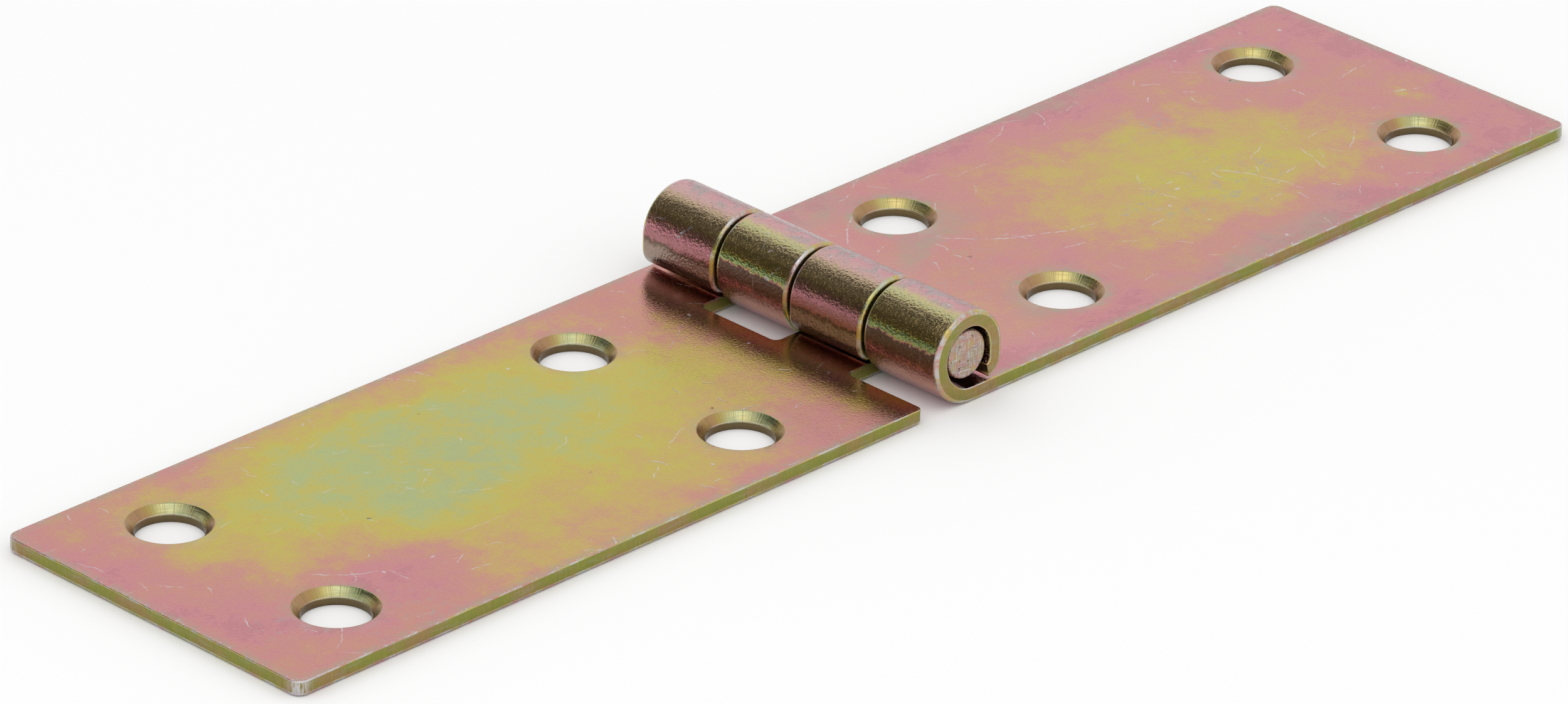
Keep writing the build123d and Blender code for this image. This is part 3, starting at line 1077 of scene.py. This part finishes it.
    def wire(self):
        """The pin: drawn wire with rosy film, and scratched, pitted ends."""
        plating = self.plating
        material, wires, shader, position = self.start("pin_wire")
        patches = wires.noise(position, 0.9, detail=5.0, rough=0.65)
        tone = wires.group(self.film, Film=wires.ramp(patches, 0.34, 0.66, 0.45, 0.85))["Colour"]
        hazy = wires.ramp(wires.noise(position, 1.6, detail=4.0), 0.36, 0.6, 0.25, 0.7)
        tone = wires.mix(hazy, tone, plating.haze)
        hatched = wires.mapped(position, (0, 0, 0), (0, 0.7, 0), (9.0, 1.0, 0.8))
        hatch = wires.noise(hatched, 1.0, rough=0.65)
        crossed = wires.mapped(position, (5, 0, 0), (0, -0.5, 0), (1.0, 1.0, 8.0))
        cross = wires.noise(crossed, 1.0, rough=0.65)
        bare = wires.math("MAXIMUM", wires.ramp(hatch, 0.54, 0.62), wires.ramp(cross, 0.56, 0.64))
        tone = wires.tint(tone, bare, 0.75, plating.zinc)
        pits = wires.group(self.specks, Position=position, Spacing=0.45, Size=0.2)["Mask"]
        tone = wires.tint(tone, pits, 0.8, plating.soot)
        drawn = wires.noise(wires.mapped(position, scale=(6.0, 0.3, 6.0)), 1.0)
        rough = wires.ramp(drawn, 0.3, 0.7, 0.26, 0.4)
        height = wires.math("SUBTRACT", wires.math("ADD", hatch, cross), pits)
        self.finish(wires, shader, tone, rough, height, 0.05)
        return material


class HINGE_OT_make_leaves(bpy.types.Operator):
    """Make the two leaves with their rolled knuckles"""

    bl_idname = "hinge.make_leaves"
    bl_label = "Leaves"
    bl_options = {"REGISTER", "UNDO"}

    def execute(self, context):
        hinge = context.scene.strap_hinge
        finish = Finishes(hinge)
        shared = [finish.sheared(), finish.rim(), finish.sunk()]
        for name, half_turns, *film in (
            ("left_leaf", 1, LEFT_FILM, LEFT_HALO, LEFT_STAINS, LEFT_HAZE, LEFT_SCUFFS, LEFT_ROUND),
            ("right_leaf", 0, RIGHT_FILM, RIGHT_HALO, RIGHT_STAINS, RIGHT_HAZE, RIGHT_SCUFFS, RIGHT_ROUND),
        ):
            bm = form_leaf(hinge)
            turned = Matrix.Rotation(math.pi * half_turns, 3, "Z")
            bmesh.ops.rotate(bm, verts=bm.verts[:], cent=(0, 0, 0), matrix=turned)
            piece = add_piece(f"{name}_sheet", bm, [finish.skin(f"{name}_skin", *film), *shared])
            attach(piece, name)
            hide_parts(name)
        return {"FINISHED"}


class HINGE_OT_make_pin(bpy.types.Operator):
    """Make the wire pin"""

    bl_idname = "hinge.make_pin"
    bl_label = "Pin"
    bl_options = {"REGISTER", "UNDO"}

    def execute(self, context):
        hinge = context.scene.strap_hinge
        piece = add_piece("pin_wire", form_pin(hinge), [Finishes(hinge).wire()])
        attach(piece, "left_leaf")
        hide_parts("hinge_pin")
        return {"FINISHED"}


class HINGE_OT_set_stage(bpy.types.Operator):
    """Set the floor, the light and the camera"""

    bl_idname = "hinge.set_stage"
    bl_label = "Stage"
    bl_options = {"REGISTER", "UNDO"}

    def execute(self, context):
        scene = context.scene
        stage = scene.strap_hinge.stage
        self.lay_floor(stage)
        self.hang_cards(stage)
        self.light(scene, stage)
        self.aim(scene, stage)
        scene.view_settings.view_transform = "Standard"
        return {"FINISHED"}

    def lay_floor(self, stage):
        bm = bmesh.new()
        under = Matrix.Translation((0, 0, -FLOOR_DROP))
        bmesh.ops.create_grid(bm, x_segments=1, y_segments=1, size=FLOOR_HALF, matrix=under)
        floor = add_object("floor", bm, [plain_material("floor_paper", stage.floor_colour)])

    def hang_cards(self, stage):
        """Dark cards behind and beside the knuckles and a grey one low behind. Only reflections show them."""
        first, last = (math.radians(angle) for angle in FAR_CARD_ARC)
        ends = [(r * math.cos(first), FAR_CARD_Y, r * math.sin(first)) for r in FAR_CARD_RADII]
        far = self.swept(ends, (0, FAR_CARD_Y, 0), (0, -1, 0), last - first)
        self.hang(far, "far_card", plain_material("far_card", stage.card_colour))

        near = bmesh.new()
        upright = Matrix.Translation(NEAR_CARD_MIDDLE) @ Matrix.Rotation(math.pi / 2, 4, "Y")
        sized = upright @ Matrix.Diagonal((*NEAR_CARD_HALF, 1.0, 1.0))
        bmesh.ops.create_grid(near, x_segments=1, y_segments=1, size=1.0, matrix=sized)
        self.hang(near, "near_card", plain_material("near_card", stage.card_colour, one_sided=True))

        first, last = (math.radians(angle) for angle in LOW_CARD_ARC)
        x, y = LOW_CARD_RADIUS * math.cos(first), LOW_CARD_RADIUS * math.sin(first)
        low = self.swept([(x, y, 0.0), (x, y, LOW_CARD_TOP)], (0, 0, 0), (0, 0, 1), last - first)
        self.hang(low, "low_card", plain_material("low_card", stage.low_colour))

    def swept(self, ends, centre, axis, angle):
        """A card swept from the straight edge between two ends."""
        bm = bmesh.new()
        verts = [bm.verts.new(end) for end in ends]
        bmesh.ops.spin(
            bm, geom=[*verts, bm.edges.new(verts)], cent=centre, axis=axis, angle=angle,
            steps=CARD_STEPS, use_merge=False, use_duplicate=False,
        )
        return bm

    def hang(self, bm, name, material):
        card = add_object(name, bm, [material])
        card.visible_camera = False
        card.visible_diffuse = False
        card.visible_shadow = False

    def light(self, scene, stage):
        world = bpy.data.worlds.new("white_studio")
        scene.world = world
        world.use_nodes = True
        world.node_tree.nodes.clear()
        wires = Wiring(world.node_tree)
        sky = wires.add("ShaderNodeBackground", {"Color": stage.sky_colour, "Strength": 1.0})
        wires.add("ShaderNodeOutputWorld", {"Surface": sky.outputs[0]})
        lamp = bpy.data.lights.new("softbox", "AREA")
        lamp.energy = stage.softbox_power
        lamp.size = SOFTBOX_SIZE
        softbox = bpy.data.objects.new("softbox", lamp)
        scene.collection.objects.link(softbox)
        softbox.location = SOFTBOX_PLACE
        softbox.rotation_mode = "QUATERNION"
        softbox.rotation_quaternion = softbox.location.to_track_quat("Z", "Y")
        softbox.visible_camera = False

    def aim(self, scene, stage):
        azimuth, elevation, lean = stage.azimuth, stage.elevation, stage.roll
        out = math.cos(elevation)
        back = Vector((math.sin(azimuth) * out, -math.cos(azimuth) * out, math.sin(elevation)))
        right = Vector((math.cos(azimuth), math.sin(azimuth), 0.0))
        up = back.cross(right)
        leaned_right = math.cos(lean) * right + math.sin(lean) * up
        leaned_up = math.cos(lean) * up - math.sin(lean) * right
        camera = bpy.data.cameras.new("camera")
        camera.lens = stage.lens
        camera.sensor_fit = "HORIZONTAL"
        camera.sensor_width = SENSOR_WIDTH
        camera.clip_start = CLIP_START
        holder = bpy.data.objects.new("camera", camera)
        scene.collection.objects.link(holder)
        turned = Matrix((leaned_right, leaned_up, back)).transposed().to_4x4()
        holder.matrix_world = Matrix.Translation(Vector(stage.target) + back * stage.distance) @ turned
        scene.camera = holder


class HINGE_PT_panel(bpy.types.Panel):
    """Sizes and colours of the hinge, and the steps that make it."""

    bl_label = "Strap Hinge"
    bl_idname = "HINGE_PT_panel"
    bl_space_type = "VIEW_3D"
    bl_region_type = "UI"
    bl_category = "Hinge"

    def draw(self, context):
        hinge = context.scene.strap_hinge
        for title, settings in (
            ("Leaf", hinge.leaf), ("Knuckles", hinge.knuckle), ("Screw holes", hinge.hole),
            ("Pin", hinge.pin), ("Plating", hinge.plating), ("Stage", hinge.stage),
        ):
            box = self.layout.box()
            box.label(text=title)
            for key in settings.__annotations__:
                box.prop(settings, key)
        for operator in OPERATORS:
            self.layout.operator(operator.bl_idname)


OPERATORS = (HINGE_OT_make_leaves, HINGE_OT_make_pin, HINGE_OT_set_stage)
CLASSES = (
    LeafSizes, KnuckleSizes, HoleSizes, PinSizes, PlatingColours, StageSettings, HingeSettings,
    *OPERATORS, HINGE_PT_panel,
)


def register():
    for cls in CLASSES:
        bpy.utils.register_class(cls)
    bpy.types.Scene.strap_hinge = PointerProperty(type=HingeSettings)


def unregister():
    del bpy.types.Scene.strap_hinge
    for cls in reversed(CLASSES):
        bpy.utils.unregister_class(cls)


def main():
    register()
    bpy.ops.hinge.make_leaves()
    bpy.ops.hinge.make_pin()
    bpy.ops.hinge.set_stage()


if __name__ == "__main__":
    main()
